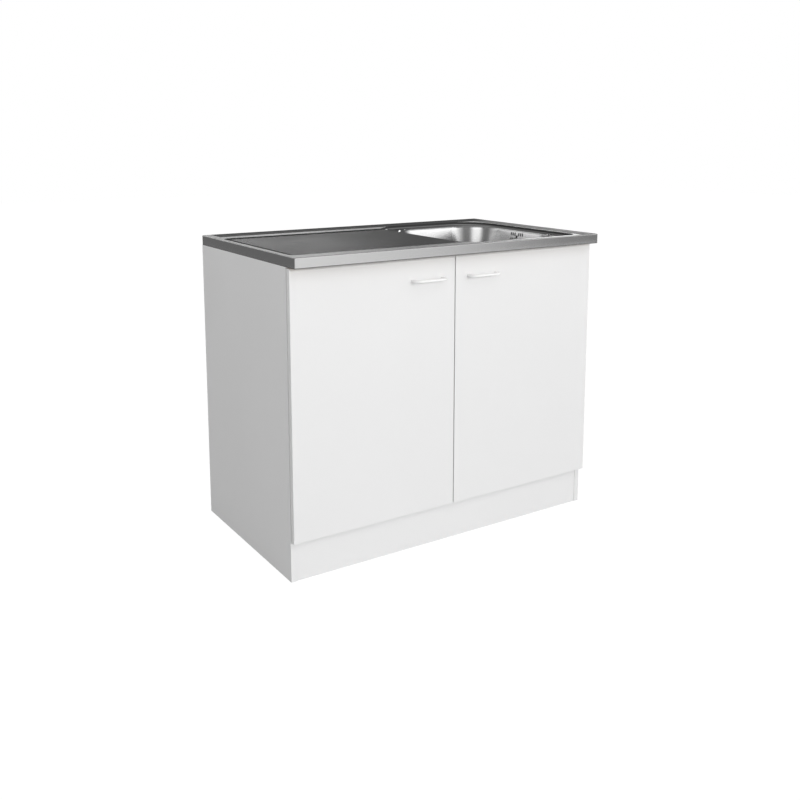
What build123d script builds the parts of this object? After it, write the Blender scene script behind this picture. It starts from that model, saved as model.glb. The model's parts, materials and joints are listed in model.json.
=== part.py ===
from build123d import *
from math import atan2, degrees
import os

# Kitchen sink unit: a white two-door base cabinet under a lay-on steel sink.
# Millimetres. X runs to the right, Y to the back, Z up. The origin lies on the floor,
# under the middle of the sink's outline, so the doors face -Y.

# ---------------------------------------------------------------- driving dimensions
WIDTH = 1000
DEPTH = 600
HEIGHT = 848
APRON = 28  # height of the sink's folded edge
CARCASS_DEPTH = 550
BOARD = 16  # thickness of every coated board
PLINTH_HEIGHT = 110
PLINTH_SETBACK = 2

DOOR_GAP = 2  # between a door's back and the carcass
DOOR_TOP_GAP = 3
DOOR_MIDDLE_GAP = 3
DOOR_SIDE_REVEAL = 0.5

HANDLE_HEIGHT = 757
HANDLE_INSET = 44  # from the middle of the unit to the nearer handle screw
HANDLE_SPACING = 96
HANDLE_REACH = 26  # from the door's face to the bar's centre line
HANDLE_R = 4
HANDLE_BEND = 16

HINGE_HEIGHTS = (210, 700)
PIN_INSET = 7  # hinge axis from the door's outer edge
PIN_DEPTH = 6.5  # hinge axis from the door's front face
HINGE_CUP_R = 17.5
HINGE_CUP_DEPTH = 13
HINGE_CUP_EDGE = 3  # wood left between the cup and the door's outer edge
HINGE_CUP_WALL = 1
HINGE_CUP_BASE = 0.8
PIN_R = 1.25
PIN_CLEARANCE = 0.08
KNUCKLE_R = 2.1
NECK_HALF_WIDTH = 4.5  # of the arm, inside the cup
ARM_HALF_WIDTH = 7

SHEET = 1  # sink sheet thickness
SHEET_CORNER = 3
RIM = 13  # flat band at the drainer's left end
RIM_ROUND = 2
TRAY_DEPTH = 2
SURROUND_DEPTH = 8
LEDGE_DEPTH = 1.2
BOWL_DEPTH = 150  # from the bowl's surround down to its floor
BOWL_WIDTH = 360
BOWL_LENGTH = 415
BOWL_CORNER = 106
BOWL_CENTRE = (243, -23.5)
BOWL_DRAFT = 8.5  # degrees, so that the walls catch the light
BOWL_ROLL = 6  # rounded lip between the surround and the bowl's wall
DRAIN_R = 45

# ---------------------------------------------------------------- derived planes
LEFT, RIGHT = -WIDTH / 2, WIDTH / 2
BACK = DEPTH / 2
CARCASS_FRONT = BACK - CARCASS_DEPTH
CARCASS_TOP = HEIGHT - APRON
INNER_LEFT = LEFT + BOARD
DOOR_BACK = CARCASS_FRONT - DOOR_GAP
DOOR_FRONT = DOOR_BACK - BOARD
DOOR_TOP = CARCASS_TOP - DOOR_TOP_GAP
DOOR_OUTER = LEFT + DOOR_SIDE_REVEAL
DOOR_INNER = -DOOR_MIDDLE_GAP / 2
SHELF_TOP = PLINTH_HEIGHT + BOARD
AXIS_X = DOOR_OUTER + PIN_INSET
AXIS_Y = DOOR_FRONT + PIN_DEPTH
CUP_X = DOOR_OUTER + HINGE_CUP_EDGE + HINGE_CUP_R
TRAY_FLOOR = HEIGHT - TRAY_DEPTH
SURROUND_FLOOR = HEIGHT - SURROUND_DEPTH
LIP_FOOT = SURROUND_FLOOR - BOWL_ROLL
BOWL_FLOOR = SURROUND_FLOOR - BOWL_DEPTH
DRAIN_X, DRAIN_Y = BOWL_CENTRE
BOWL_RIGHT = DRAIN_X + BOWL_WIDTH / 2

TURNS = {
    "X": (0, 90, 0),
    "-X": (0, -90, 0),
    "Y": (-90, 0, 0),
    "-Y": (90, 0, 0),
    "Z": (0, 0, 0),
    "-Z": (180, 0, 0),
}
ON_START = (Align.CENTER, Align.CENTER, Align.MIN)


def block(x, y, z, mode=Mode.ADD):
    """A box between the low and high values given for each axis."""
    with Locations(((x[0] + x[1]) / 2, (y[0] + y[1]) / 2, (z[0] + z[1]) / 2)):
        Box(x[1] - x[0], y[1] - y[0], z[1] - z[0], mode=mode)


def rod(start, radius, length, way="Z", mode=Mode.ADD):
    """A round bar from its start point along one of the axes."""
    with Locations(start):
        Cylinder(radius, length, rotation=TURNS[way], align=ON_START, mode=mode)


def tube(start, outer, inner, length, way="Z"):
    """A pipe from its start point along one of the axes."""
    rod(start, outer, length, way)
    rod(start, inner, length, way, Mode.SUBTRACT)


def mirrored(piece):
    """The same piece on the other side of the unit's middle plane."""
    with BuildPart() as twin:
        mirror(piece.part, about=Plane.YZ)
    return twin


# ---------------------------------------------------------------- carcass joints
# Each board that runs from side to side is pinned by dowels and drawn up by cams.
# The places are (y, z) on the inner face of a side panel.
DOWEL_R = 4
DOWEL_LENGTH = 30
DOWEL_IN_SIDE = 10.5
BOLT_R = 3
BOLT_IN_SIDE = 11
BOLT_BORE_R = 3.6
CAM_R = 7.5
CAM_DEPTH = 12.5
CAM_FROM_END = 34
FIT = 0.1  # play of the cams and cups in their seats
BORE_END = 0.5  # air past the end of a screw or dowel in its bore

SHELF_DOWEL_Y = (-200, 15, 230)
SHELF_BOLT_Y = (-120, 150)
RAIL_DOWEL_OFFSET = 25  # above and below a rail's middle
PLINTH_DOWEL_Z = (30, 80)

RAIL_HEIGHT = 90
BACK_SHEET = 3
BACK_SHEET_INSET = 10  # from the side panels' rear edges to the sheet's inner face
BACK_SHEET_FOOT = 100
GROOVE = 6
GROOVE_PLAY = 0.1

FRONT_RAIL = (CARCASS_FRONT, CARCASS_FRONT + BOARD)
BACK_SHEET_Y = (BACK - BACK_SHEET_INSET, BACK - BACK_SHEET_INSET + BACK_SHEET)
BACK_SHEET_Z = (BACK_SHEET_FOOT, CARCASS_TOP)
REAR_RAIL = (BACK_SHEET_Y[0] - BOARD, BACK_SHEET_Y[0])
RAIL_Z = (CARCASS_TOP - RAIL_HEIGHT, CARCASS_TOP)
PLINTH = (CARCASS_FRONT + PLINTH_SETBACK, CARCASS_FRONT + PLINTH_SETBACK + BOARD)

shelf_mid = PLINTH_HEIGHT + BOARD / 2
rail_mid = (RAIL_Z[0] + RAIL_Z[1]) / 2
front_rail_mid = sum(FRONT_RAIL) / 2
rear_rail_mid = sum(REAR_RAIL) / 2
plinth_mid = sum(PLINTH) / 2

rail_dowel_z = (rail_mid - RAIL_DOWEL_OFFSET, rail_mid + RAIL_DOWEL_OFFSET)
shelf_dowels = [(y, shelf_mid) for y in SHELF_DOWEL_Y]
front_rail_dowels = [(front_rail_mid, z) for z in rail_dowel_z]
rear_rail_dowels = [(rear_rail_mid, z) for z in rail_dowel_z]
plinth_dowels = [(plinth_mid, z) for z in PLINTH_DOWEL_Z]
all_dowels = shelf_dowels + front_rail_dowels + rear_rail_dowels + plinth_dowels

shelf_bolts = [(y, shelf_mid) for y in SHELF_BOLT_Y]
rail_bolts = [(front_rail_mid, rail_mid), (rear_rail_mid, rail_mid)]


def end_bores(dowels, bolts):
    """Bores for the dowels and cam bolts in both ends of a cross board."""
    for side, way in ((-1, "X"), (1, "-X")):
        end = side * -INNER_LEFT
        for y, z in dowels:
            rod((end, y, z), DOWEL_R, DOWEL_LENGTH - DOWEL_IN_SIDE + BORE_END, way, Mode.SUBTRACT)
        for y, z in bolts:
            rod((end, y, z), BOLT_BORE_R, CAM_FROM_END, way, Mode.SUBTRACT)


def cam_places():
    """Every cam: its seat's centre on the board's face, and the way it sinks in."""
    cam_x = -INNER_LEFT - CAM_FROM_END
    for x in (-cam_x, cam_x):
        for y, z in shelf_bolts:
            yield (x, y, PLINTH_HEIGHT), "Z"
        yield (x, FRONT_RAIL[1], rail_mid), "-Y"
        yield (x, REAR_RAIL[0], rail_mid), "Y"


# ---------------------------------------------------------------- carcass boards
PLATE_SCREW_R = 2.5
PLATE_SCREW_SPACING = 32
PLATE_SCREW_IN_SIDE = 11
PLATE_LINE = 37  # from the carcass's front to the upright row of plate screws
PLATE_LINE_Y = CARCASS_FRONT + PLATE_LINE
plate_screw_heights = [
    height + side * PLATE_SCREW_SPACING / 2 for height in HINGE_HEIGHTS for side in (-1, 1)
]

with BuildPart() as left_side_panel:
    block((LEFT, INNER_LEFT), (CARCASS_FRONT, BACK), (0, CARCASS_TOP))
    block(
        (INNER_LEFT - GROOVE - GROOVE_PLAY, INNER_LEFT),
        (BACK_SHEET_Y[0] - GROOVE_PLAY, BACK_SHEET_Y[1] + GROOVE_PLAY),
        BACK_SHEET_Z,
        Mode.SUBTRACT,
    )
    for y, z in all_dowels:
        rod((INNER_LEFT, y, z), DOWEL_R, DOWEL_IN_SIDE + BORE_END, "-X", Mode.SUBTRACT)
    for y, z in shelf_bolts + rail_bolts:
        rod((INNER_LEFT, y, z), BOLT_R, BOLT_IN_SIDE, "-X", Mode.SUBTRACT)
    screw_bore = PLATE_SCREW_IN_SIDE + BORE_END
    for z in plate_screw_heights:
        rod((INNER_LEFT, PLATE_LINE_Y, z), PLATE_SCREW_R, screw_bore, "-X", Mode.SUBTRACT)

right_side_panel = mirrored(left_side_panel)

with BuildPart() as bottom_panel:
    block((INNER_LEFT, -INNER_LEFT), (CARCASS_FRONT, BACK_SHEET_Y[0]), (PLINTH_HEIGHT, SHELF_TOP))
    end_bores(shelf_dowels, shelf_bolts)
    for place, way in cam_places():
        rod(place, CAM_R + FIT, CAM_DEPTH + FIT, way, Mode.SUBTRACT)

with BuildPart() as plinth_board:
    block((INNER_LEFT, -INNER_LEFT), PLINTH, (0, PLINTH_HEIGHT))
    end_bores(plinth_dowels, [])

with BuildPart() as front_rail:
    block((INNER_LEFT, -INNER_LEFT), FRONT_RAIL, RAIL_Z)
    end_bores(front_rail_dowels, rail_bolts[:1])
    for place, way in cam_places():
        rod(place, CAM_R + FIT, CAM_DEPTH + FIT, way, Mode.SUBTRACT)

with BuildPart() as rear_rail:
    block((INNER_LEFT, -INNER_LEFT), REAR_RAIL, RAIL_Z)
    end_bores(rear_rail_dowels, rail_bolts[1:])
    for place, way in cam_places():
        rod(place, CAM_R + FIT, CAM_DEPTH + FIT, way, Mode.SUBTRACT)

# The thin back sheet slides in grooves of the side panels. Pipes pass its cut-out.
CUTOUT_WIDTH = 300
CUTOUT_X = (DRAIN_X - CUTOUT_WIDTH / 2, DRAIN_X + CUTOUT_WIDTH / 2)
CUTOUT_Z = (400, 620)
with BuildPart() as back_panel:
    block((INNER_LEFT - GROOVE, -INNER_LEFT + GROOVE), BACK_SHEET_Y, BACK_SHEET_Z)
    block(CUTOUT_X, BACK_SHEET_Y, CUTOUT_Z, Mode.SUBTRACT)

with BuildPart() as carcass_dowels:
    for side, way in ((-1, "X"), (1, "-X")):
        for y, z in all_dowels:
            rod((side * (-INNER_LEFT + DOWEL_IN_SIDE), y, z), DOWEL_R, DOWEL_LENGTH, way)

with BuildPart() as cam_bolts:
    reach = BOLT_IN_SIDE + CAM_FROM_END - CAM_R - FIT
    for side, way in ((-1, "X"), (1, "-X")):
        for y, z in shelf_bolts + rail_bolts:
            rod((side * (-INNER_LEFT + BOLT_IN_SIDE), y, z), BOLT_R, reach, way)

with BuildPart() as cam_locks:
    for place, way in cam_places():
        rod(place, CAM_R, CAM_DEPTH, way)

# ---------------------------------------------------------------- sink frame and clips
# Wooden strips under the sheet's edge carry it on the carcass.
STRIP_PLAY = 0.8
FRONT_STRIP_BACK = -284
REAR_STRIP_FRONT = 232
SIDE_STRIP_X = 460
edge_x = RIGHT - SHEET - STRIP_PLAY
edge_y = BACK - SHEET - STRIP_PLAY
strip_top = HEIGHT - SHEET
side_strip_y = (FRONT_STRIP_BACK + FIT, REAR_STRIP_FRONT - FIT)

with BuildPart() as front_strip:
    block((-edge_x, edge_x), (-edge_y, FRONT_STRIP_BACK), (CARCASS_TOP, strip_top))

with BuildPart() as rear_strip:
    block((-edge_x, edge_x), (REAR_STRIP_FRONT, edge_y), (CARCASS_TOP, strip_top - LEDGE_DEPTH))

with BuildPart() as left_strip:
    block((-edge_x, -SIDE_STRIP_X), side_strip_y, (CARCASS_TOP, TRAY_FLOOR - SHEET))

with BuildPart() as right_strip:
    block((SIDE_STRIP_X, edge_x), side_strip_y, (CARCASS_TOP, strip_top))

# Four small steel angles screw the strips to the carcass.
ANGLE_LEG = 20
ANGLE_SHEET = 1.5
ANGLE_WIDTH = 20
REAR_ANGLE_X = 250
angle_places = [
    Location((INNER_LEFT, 0, CARCASS_TOP), (0, 0, 0)),
    Location((-INNER_LEFT, 0, CARCASS_TOP), (0, 0, 180)),
    Location((-REAR_ANGLE_X, REAR_RAIL[0], CARCASS_TOP), (0, 0, -90)),
    Location((REAR_ANGLE_X, REAR_RAIL[0], CARCASS_TOP), (0, 0, -90)),
]
low_corner = (Align.MIN, Align.CENTER, Align.MAX)
with BuildPart() as sink_angles:
    with Locations(angle_places):
        Box(ANGLE_SHEET, ANGLE_WIDTH, ANGLE_LEG, align=low_corner)
        Box(ANGLE_LEG, ANGLE_WIDTH, ANGLE_SHEET, align=low_corner)

# A square damping pad is glued under the drainer.
PAD_X = (-320, -120)
PAD_Y = (-140, 60)
PAD_SHEET = 3
with BuildPart() as damping_pad:
    block(PAD_X, PAD_Y, (TRAY_FLOOR - SHEET - PAD_SHEET, TRAY_FLOOR - SHEET))

# ---------------------------------------------------------------- sink sheet
# Hollows pressed into the sheet, with outlines given at the level of the rim: the shallow
# drainer, the deeper and wider surround of the bowl, and a faint ledge along the back.
TRAY_X = (LEFT + RIM, 41)
TRAY_Y = (-256, 180)
TRAY_CORNER = 20
TRAY_SLOPE = 16  # width of the drainer's sloping edge
SURROUND_Y = (-282, 226)
SURROUND_RIGHT = 433
SURROUND_STEP_FRONT = 75  # where the surround reaches its full width
SURROUND_STEP_BACK = 94
SURROUND_FRONT_CORNER = 30
SURROUND_BACK_CORNER = 112
SURROUND_SLOPE = 5
LEDGE_X = (-474, 462)
LEDGE_Y = (220, 292)
LEDGE_STEP = 28  # the ledge is this much narrower behind the bowl
LEDGE_SLOPE = 4
HOLLOW_ROLL = 1.5  # rounding where the rim turns down into the drainer and the surround
LIP_ROLL = 5  # rounding of the bowl's lip


def lean(slope, depth):
    """The taper of a wall that runs out by slope over its depth."""
    return degrees(atan2(slope, depth))


def tray_recess(grow):
    """The drainer's hollow. The underside's one lies lower and is larger all round."""
    left, right = TRAY_X[0] - grow, TRAY_X[1] + TRAY_SLOPE + SURROUND_SLOPE
    front, back = TRAY_Y[0] - grow, TRAY_Y[1] + grow
    with BuildPart() as hollow:
        with BuildSketch(Plane.XY.offset(HEIGHT - grow)) as outline:
            with BuildLine():
                Polyline((left, front), (right, front), (right, back), (left, back), close=True)
            make_face()
            fillet(outline.vertices().sort_by(Axis.X)[:2], TRAY_CORNER + grow)
        extrude(amount=-TRAY_DEPTH, taper=lean(TRAY_SLOPE, TRAY_DEPTH))
    return hollow.part


def surround_recess(grow):
    """The hollow round the bowl. The underside's one lies lower and is larger all round."""
    left, right = TRAY_X[1] - grow, SURROUND_RIGHT + grow
    front, back = SURROUND_Y[0] - grow, SURROUND_Y[1] + grow
    corners = [
        (left, TRAY_Y[0] - grow),
        (SURROUND_STEP_FRONT, front),
        (right, front),
        (right, back),
        (SURROUND_STEP_BACK, back),
        (left, TRAY_Y[1] + grow),
    ]
    with BuildPart() as hollow:
        with BuildSketch(Plane.XY.offset(HEIGHT - grow)) as outline:
            with BuildLine():
                Polyline(*corners, close=True)
            make_face()
            back_corner = outline.vertices().sort_by(Axis.X)[-2:].sort_by(Axis.Y)[-1]
            fillet(back_corner, SURROUND_BACK_CORNER + grow)
            front_corner = outline.vertices().sort_by(Axis.X)[-2:].sort_by(Axis.Y)[0]
            fillet(front_corner, SURROUND_FRONT_CORNER + grow)
        extrude(amount=-SURROUND_DEPTH, taper=lean(SURROUND_SLOPE, SURROUND_DEPTH))
    return hollow.part


def ledge_recess(grow):
    """The faint ledge for taps. The underside's one lies lower and is larger all round."""
    left, right = LEDGE_X[0] - grow, LEDGE_X[1] + grow
    front, back = LEDGE_Y[0] - grow, LEDGE_Y[1] + grow
    corners = [
        (left, front),
        (TRAY_X[1], front),
        (SURROUND_STEP_FRONT, front + LEDGE_STEP),
        (right, front + LEDGE_STEP),
        (right, back),
        (left, back),
    ]
    with BuildPart() as hollow:
        with BuildSketch(Plane.XY.offset(HEIGHT - grow)):
            with BuildLine():
                Polyline(*corners, close=True)
            make_face()
        extrude(amount=-LEDGE_DEPTH, taper=lean(LEDGE_SLOPE, LEDGE_DEPTH))
    return hollow.part


# Air under the sheet: the inside of the apron, less the hollows' undersides.
with BuildPart() as sheet_hollow:
    with BuildSketch(Plane.XY.offset(CARCASS_TOP)):
        RectangleRounded(WIDTH - 2 * SHEET, DEPTH - 2 * SHEET, SHEET_CORNER - SHEET)
    extrude(amount=APRON - SHEET)
    for recess in (tray_recess, surround_recess, ledge_recess):
        add(recess(SHEET), mode=Mode.SUBTRACT)

with BuildPart() as bowl_lip:
    with BuildSketch(Plane.XY.offset(LIP_FOOT)):
        with Locations(BOWL_CENTRE):
            RectangleRounded(
                BOWL_WIDTH + 2 * BOWL_ROLL, BOWL_LENGTH + 2 * BOWL_ROLL, BOWL_CORNER + BOWL_ROLL
            )
            RectangleRounded(BOWL_WIDTH, BOWL_LENGTH, BOWL_CORNER, mode=Mode.SUBTRACT)
    extrude(amount=BOWL_ROLL)
    fillet(bowl_lip.faces().sort_by(Axis.Z)[-1].inner_wires()[0].edges(), LIP_ROLL)

with BuildPart() as sink_top:
    with BuildSketch(Plane.XY.offset(CARCASS_TOP)):
        RectangleRounded(WIDTH, DEPTH, SHEET_CORNER)
    extrude(amount=APRON)
    fillet(sink_top.faces().sort_by(Axis.Z)[-1].edges(), RIM_ROUND)
    for recess in (tray_recess, surround_recess, ledge_recess):
        add(recess(0), mode=Mode.SUBTRACT)
    rim_wires = sink_top.faces().sort_by(Axis.Z)[-1].inner_wires()
    fillet(rim_wires.sort_by(SortBy.LENGTH)[-1].edges(), HOLLOW_ROLL)
    add(sheet_hollow.part, mode=Mode.SUBTRACT)
    with BuildSketch(Plane.XY.offset(SURROUND_FLOOR)):
        with Locations(BOWL_CENTRE):
            RectangleRounded(
                BOWL_WIDTH + 2 * BOWL_ROLL, BOWL_LENGTH + 2 * BOWL_ROLL, BOWL_CORNER + BOWL_ROLL
            )
    extrude(amount=-SHEET, mode=Mode.SUBTRACT)
    add(bowl_lip.part)

# ---------------------------------------------------------------- bowl
BOWL_SOLE_R = 35  # round between the wall and the floor
OVERFLOW_Y = DRAIN_Y
OVERFLOW_Z = 817
SLOT_SIZE = (5, 11)
SLOT_OFFSETS = (-27, -18, -9, 9, 18, 27)
SLOT_ROWS = (-8.5, 8.5)
CROSS_SLOT = (14, 4)
SLOT_REACH = 30  # the cut passes right through the sloping wall

with BuildPart() as bowl_hollow:
    with BuildSketch(Plane.XY.offset(LIP_FOOT)):
        with Locations(BOWL_CENTRE):
            RectangleRounded(BOWL_WIDTH, BOWL_LENGTH, BOWL_CORNER)
    extrude(amount=BOWL_FLOOR - LIP_FOOT, taper=BOWL_DRAFT)
    fillet(bowl_hollow.faces().sort_by(Axis.Z)[0].edges(), BOWL_SOLE_R)

with BuildPart() as bowl_outside:
    with BuildSketch(Plane.XY.offset(LIP_FOOT)):
        with Locations(BOWL_CENTRE):
            RectangleRounded(BOWL_WIDTH + 2 * SHEET, BOWL_LENGTH + 2 * SHEET, BOWL_CORNER + SHEET)
    extrude(amount=BOWL_FLOOR - SHEET - LIP_FOOT, taper=BOWL_DRAFT)
    fillet(bowl_outside.faces().sort_by(Axis.Z)[0].edges(), BOWL_SOLE_R + SHEET)

with BuildPart() as sink_bowl:
    add(bowl_outside.part)
    add(bowl_hollow.part, mode=Mode.SUBTRACT)
    rod((DRAIN_X, DRAIN_Y, BOWL_FLOOR), DRAIN_R, SHEET, "-Z", Mode.SUBTRACT)
    # Overflow: two rows of upright slots either side of a crossed pair.
    with BuildSketch(Plane((BOWL_RIGHT - SLOT_REACH / 2, OVERFLOW_Y, OVERFLOW_Z), (0, 1, 0), (1, 0, 0))):
        with Locations([(y, z) for y in SLOT_OFFSETS for z in SLOT_ROWS]):
            SlotOverall(SLOT_SIZE[1], SLOT_SIZE[0], rotation=90)
        for turn in (-45, 45):
            SlotOverall(*CROSS_SLOT, rotation=turn)
    extrude(amount=SLOT_REACH, mode=Mode.SUBTRACT)

# ---------------------------------------------------------------- drain
FLANGE_R = 56
FLANGE_SHEET = 1.5
UPPER_SEAL = 1
LOWER_SEAL = 3
SEAL_INSET = 2  # the upper seal ends under the flange's edge
CUP_R = 42
CUP_SHEET = 1.2
CUP_FLOOR = 655
CUP_HOLE_RINGS = ((5.5, 18, 6), (5, 31, 12))  # hole radius, ring radius, holes
CLAMP_SCREW_R = 2.5
CLAMP_HEAD = (6, 2.4)  # radius, height

with BuildPart() as upper_seal:
    tube((DRAIN_X, DRAIN_Y, BOWL_FLOOR), FLANGE_R - SEAL_INSET, CUP_R + 0.5, UPPER_SEAL)

with BuildPart() as drain_flange:
    flange_foot = BOWL_FLOOR + UPPER_SEAL
    cup_height = flange_foot + FLANGE_SHEET - CUP_FLOOR
    rod((DRAIN_X, DRAIN_Y, flange_foot), FLANGE_R, FLANGE_SHEET)
    tube((DRAIN_X, DRAIN_Y, CUP_FLOOR), CUP_R, CUP_R - 1, cup_height)
    rod((DRAIN_X, DRAIN_Y, CUP_FLOOR), CUP_R, CUP_SHEET)
    rod((DRAIN_X, DRAIN_Y, CUP_FLOOR), CLAMP_SCREW_R + 0.7, CUP_SHEET, mode=Mode.SUBTRACT)
    with Locations((DRAIN_X, DRAIN_Y, CUP_FLOOR)):
        for hole_r, ring_r, holes in CUP_HOLE_RINGS:
            with PolarLocations(ring_r, holes):
                Cylinder(hole_r, 2 * CUP_SHEET, mode=Mode.SUBTRACT)

BODY_TOP = BOWL_FLOOR - SHEET - LOWER_SEAL
BODY_LIP = 3
BODY_R = 46
BODY_BORE = 43.5
BODY_FLOOR = 638
BODY_SHEET = 3
PORT_Z = 662
PORT_R = 11
PORT_WALL = 2
PORT_END = DRAIN_X + 62
NECK_R = 20.5
NECK_BORE = 18
NECK_FOOT = 600
BOSS_R = 6
BOSS_GAP = 0.2
SPIDER = (2.5, 8)  # thickness and height of the cross that carries the boss

with BuildPart() as lower_seal:
    tube((DRAIN_X, DRAIN_Y, BODY_TOP), FLANGE_R, BODY_R + 1, LOWER_SEAL)

with BuildPart() as waste_body:
    rod((DRAIN_X, DRAIN_Y, BODY_TOP), FLANGE_R, BODY_LIP, "-Z")
    rod((DRAIN_X, DRAIN_Y, BODY_FLOOR), BODY_R, BODY_TOP - BODY_LIP - BODY_FLOOR)
    rod((DRAIN_X, DRAIN_Y, NECK_FOOT), NECK_R, BODY_FLOOR - NECK_FOOT)
    rod((DRAIN_X, DRAIN_Y, PORT_Z), PORT_R, PORT_END - DRAIN_X, "X")
    spider_foot = BODY_FLOOR + BODY_SHEET
    rod((DRAIN_X, DRAIN_Y, spider_foot), BODY_BORE, BODY_TOP - spider_foot, mode=Mode.SUBTRACT)
    rod((DRAIN_X, DRAIN_Y, NECK_FOOT), NECK_BORE, spider_foot - NECK_FOOT, mode=Mode.SUBTRACT)
    rod((DRAIN_X, DRAIN_Y, PORT_Z), PORT_R - PORT_WALL, PORT_END - DRAIN_X, "X", Mode.SUBTRACT)
    rod((DRAIN_X, DRAIN_Y, spider_foot), BOSS_R, CUP_FLOOR - BOSS_GAP - spider_foot)
    for angle in (45, 135):
        with Locations(Location((DRAIN_X, DRAIN_Y, spider_foot + SPIDER[1] / 2), (0, 0, angle))):
            Box(2 * BODY_BORE, *SPIDER)
    rod((DRAIN_X, DRAIN_Y, spider_foot), CLAMP_SCREW_R, BODY_BORE, mode=Mode.SUBTRACT)

with BuildPart() as clamp_screw:
    screw_top = CUP_FLOOR + CUP_SHEET
    rod((DRAIN_X, DRAIN_Y, spider_foot), CLAMP_SCREW_R, screw_top - spider_foot)
    rod((DRAIN_X, DRAIN_Y, screw_top), *CLAMP_HEAD)

# The lift-out basket: a perforated cup with a sealing ring and a knob in the middle.
BASKET_FLOOR = CUP_FLOOR + 6
BASKET_R = 34
BASKET_HEIGHT = 30
BASKET_WALL = 1
BASKET_LIP = (4, 1.5)  # overhang, thickness
BASKET_HOLE_R = 2.5
BASKET_HOLE_RINGS = ((13, 8), (23, 14))  # ring radius, holes
KNOB_STEM = (3, 34)  # radius, height
KNOB_HEAD = (9, 5)
BASKET_SEAL = (20, 3, 5.5)  # height above the basket's foot, thickness, overhang

with BuildPart() as strainer_basket:
    lip_foot = BASKET_FLOOR + BASKET_HEIGHT - BASKET_LIP[1]
    rod((DRAIN_X, DRAIN_Y, BASKET_FLOOR), BASKET_R, BASKET_HEIGHT)
    rod((DRAIN_X, DRAIN_Y, lip_foot), BASKET_R + BASKET_LIP[0], BASKET_LIP[1])
    inner_foot = BASKET_FLOOR + BASKET_WALL
    inner_r = BASKET_R - BASKET_WALL
    rod((DRAIN_X, DRAIN_Y, inner_foot), inner_r, BASKET_HEIGHT, mode=Mode.SUBTRACT)
    rod((DRAIN_X, DRAIN_Y, BASKET_FLOOR), *KNOB_STEM)
    rod((DRAIN_X, DRAIN_Y, BASKET_FLOOR + KNOB_STEM[1]), *KNOB_HEAD)
    with Locations((DRAIN_X, DRAIN_Y, BASKET_FLOOR)):
        for ring_r, holes in BASKET_HOLE_RINGS:
            with PolarLocations(ring_r, holes):
                Cylinder(BASKET_HOLE_R, 4 * BASKET_WALL, mode=Mode.SUBTRACT)

with BuildPart() as basket_seal:
    seal_height, seal_sheet, seal_overhang = BASKET_SEAL
    seal_foot = (DRAIN_X, DRAIN_Y, BASKET_FLOOR + seal_height)
    tube(seal_foot, BASKET_R + seal_overhang, BASKET_R, seal_sheet)

# ---------------------------------------------------------------- overflow
GASKET_SHEET = 2
GASKET_BORDER = 5
GASKET_DEPTH = 12  # more than the wedge is thick at its foot
OVERFLOW_HALF = 45
OVERFLOW_BOX = 30  # how far the box stands out
OVERFLOW_WALL = 2
OVERFLOW_LID = 1.5  # thinner wall under the lip
BOX_Z = (792, 833)
BEND_R = 20
OVERFLOW_NUT = (15, 16)  # radius, length

GASKET_X = BOWL_RIGHT + SHEET
BOX_X = (GASKET_X + GASKET_SHEET, GASKET_X + GASKET_SHEET + OVERFLOW_BOX)
BOX_Y = (OVERFLOW_Y - OVERFLOW_HALF, OVERFLOW_Y + OVERFLOW_HALF)
DROP_X = (BOX_X[0] + BOX_X[1]) / 2 + 2
DROP_FOOT = PORT_Z + BEND_R


def inset_y(border):
    """The overflow box's width less a border at both ends."""
    return (BOX_Y[0] + border, BOX_Y[1] - border)


# The gasket is a wedge between the bowl's sloping wall and the upright box.
with BuildPart() as overflow_gasket:
    window_z = (BOX_Z[0] + GASKET_BORDER, BOX_Z[1] - OVERFLOW_LID)
    wedge_x = (BOX_X[0] - GASKET_DEPTH, BOX_X[0])
    block(wedge_x, BOX_Y, BOX_Z)
    add(bowl_outside.part, mode=Mode.SUBTRACT)
    block(wedge_x, inset_y(GASKET_BORDER), window_z, Mode.SUBTRACT)

with BuildPart() as overflow_box:
    inner_x = (BOX_X[0], BOX_X[1] - OVERFLOW_WALL)
    inner_z = (BOX_Z[0] + OVERFLOW_WALL, BOX_Z[1] - OVERFLOW_LID)
    block(BOX_X, BOX_Y, BOX_Z)
    block(inner_x, inset_y(OVERFLOW_WALL), inner_z, Mode.SUBTRACT)
    rod((DROP_X, OVERFLOW_Y, BOX_Z[0]), PORT_R - PORT_WALL, OVERFLOW_WALL, mode=Mode.SUBTRACT)

with BuildPart() as overflow_drop_pipe:
    tube((DROP_X, OVERFLOW_Y, DROP_FOOT), PORT_R, PORT_R - PORT_WALL, BOX_Z[0] - DROP_FOOT)

with BuildPart() as overflow_bend:
    with BuildSketch(Plane.XY.offset(DROP_FOOT)):
        with Locations((DROP_X, OVERFLOW_Y)):
            Circle(PORT_R)
            Circle(PORT_R - PORT_WALL, mode=Mode.SUBTRACT)
    bend_axis = Axis((DROP_X - BEND_R, OVERFLOW_Y, DROP_FOOT), (0, 1, 0))
    revolve(axis=bend_axis, revolution_arc=90)

with BuildPart() as overflow_cross_pipe:
    cross_length = DROP_X - BEND_R - PORT_END
    tube((PORT_END, OVERFLOW_Y, PORT_Z), PORT_R, PORT_R - PORT_WALL, cross_length, "X")

with BuildPart() as overflow_nut:
    nut_r, nut_length = OVERFLOW_NUT
    nut_start = (PORT_END - nut_length / 2, OVERFLOW_Y, PORT_Z)
    tube(nut_start, nut_r, PORT_R + 0.2, nut_length, "X")

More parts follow.
